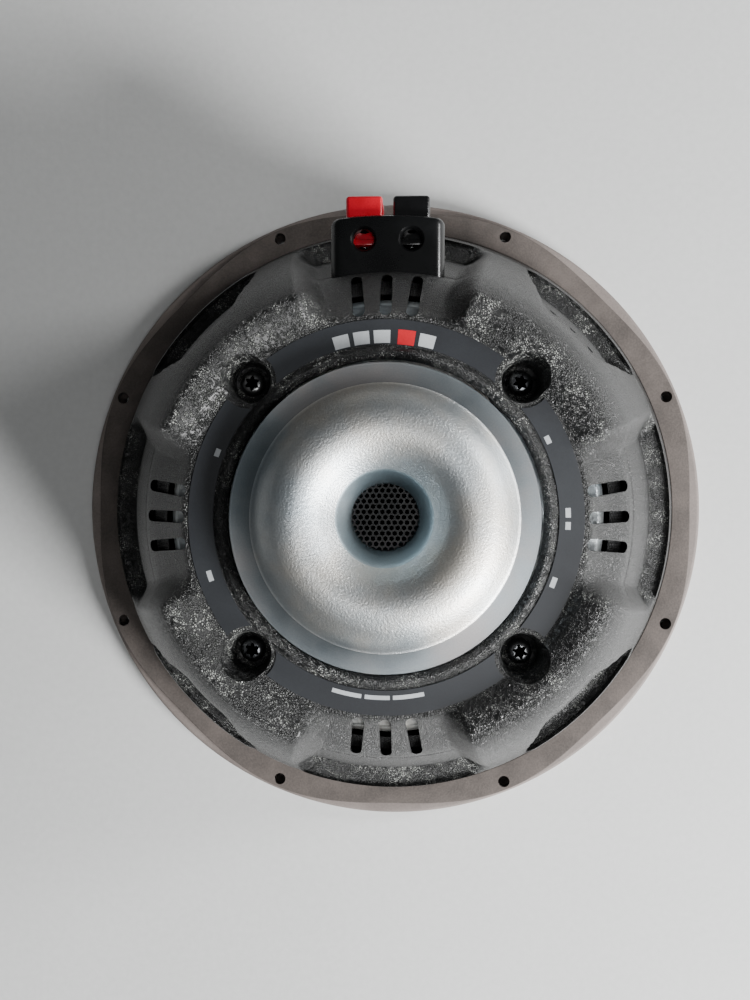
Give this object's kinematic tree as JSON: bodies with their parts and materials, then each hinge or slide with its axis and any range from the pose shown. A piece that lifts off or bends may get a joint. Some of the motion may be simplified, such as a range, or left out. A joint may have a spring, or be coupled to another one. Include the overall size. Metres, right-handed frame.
{
  "type": "car subwoofer speaker",
  "caption": "Round long-throw subwoofer driver with a pressed basket, bumped back plate, slotted rear, push terminals and a sprung cone.",
  "frame": {"origin": "on the driver's axis at the plane of its front trim ring, which it lies on", "axes": "+Z towards the rear of the motor, +Y towards the terminal block"},
  "size_m": [0.27, 0.27, 0.146],
  "materials": {
    "powder_coated_steel": "black wrinkle powder coat",
    "gasket_foam": "matte brown-grey closed-cell foam",
    "trim_rubber": "matte grey moulded rubber",
    "surround_rubber": "satin black rubber",
    "cone_paper": "black pressed fibre",
    "former_aluminium": "thin rolled aluminium",
    "copper_winding": "enamelled copper wire",
    "spider_cloth": "resin-stiffened corrugated cloth",
    "moulded_abs": "satin black moulded ABS",
    "red_abs": "glossy red moulded ABS",
    "black_gloss_abs": "glossy black moulded ABS",
    "zinc_plated_steel": "grained zinc-plated steel",
    "ferrite": "sintered ferrite",
    "aluminium_ring": "turned aluminium",
    "mesh_black": "black woven wire",
    "black_oxide_steel": "black-oxide screw steel",
    "label_film": "satin dark slate printed film",
    "spring_steel": "bright spring wire",
    "plated_contact": "plated brass strip",
    "phenolic_board": "brown phenolic board",
    "tinsel_braid": "tinned copper braid"
  },
  "bodies": {
    "frame": {"basket": "powder_coated_steel", "rear_gasket": "gasket_foam", "front_trim_ring": "trim_rubber", "surround": "surround_rubber", "spider": "spider_cloth", "spider_carrier": "moulded_abs", "slot_meshes": "mesh_black", "top_plate": "zinc_plated_steel", "magnet": "ferrite", "shorting_ring": "aluminium_ring", "back_plate": "zinc_plated_steel", "vent_mesh": "mesh_black", "motor_screws": "black_oxide_steel", "label_strips": "label_film", "terminal_housing": "moulded_abs", "red_spring_upper": "spring_steel", "red_spring_lower": "spring_steel", "black_spring_upper": "spring_steel", "black_spring_lower": "spring_steel", "contact_clips": "plated_contact", "terminal_screws": "black_oxide_steel", "tag_board": "phenolic_board", "tinsel_leads": "tinsel_braid"},
    "diaphragm": {"cone": "cone_paper", "dust_cap": "cone_paper", "coil_former": "former_aluminium", "voice_coil_inner_winding": "copper_winding", "voice_coil_outer_winding": "copper_winding"},
    "red_button_upper": {"red_button_upper": "red_abs"},
    "black_button_upper": {"black_button_upper": "black_gloss_abs"},
    "red_button_lower": {"red_button_lower": "red_abs"},
    "black_button_lower": {"black_button_lower": "black_gloss_abs"}
  },
  "joints": [
    {"name": "cone_travel", "type": "slide", "parent": "frame", "child": "diaphragm", "axis": [0, 0, 1], "range_m": [-0.01, 0.01], "stiffness_N_per_m": 4500, "deforming": ["surround", "spider", "tinsel_leads"]},
    {"name": "red_button_upper_press", "type": "slide", "parent": "frame", "child": "red_button_upper", "axis": [0, -1, 0], "range_m": [0, 0.004], "stiffness_N_per_m": 900, "springref_m": -0.002, "deforming": ["red_spring_upper"]},
    {"name": "black_button_upper_press", "type": "slide", "parent": "frame", "child": "black_button_upper", "axis": [0, -1, 0], "range_m": [0, 0.004], "stiffness_N_per_m": 900, "springref_m": -0.002, "deforming": ["black_spring_upper"]},
    {"name": "red_button_lower_press", "type": "slide", "parent": "frame", "child": "red_button_lower", "axis": [0, -1, 0], "range_m": [0, 0.004], "stiffness_N_per_m": 900, "springref_m": -0.002, "deforming": ["red_spring_lower"]},
    {"name": "black_button_lower_press", "type": "slide", "parent": "frame", "child": "black_button_lower", "axis": [0, -1, 0], "range_m": [0, 0.004], "stiffness_N_per_m": 900, "springref_m": -0.002, "deforming": ["black_spring_lower"]}
  ]
}
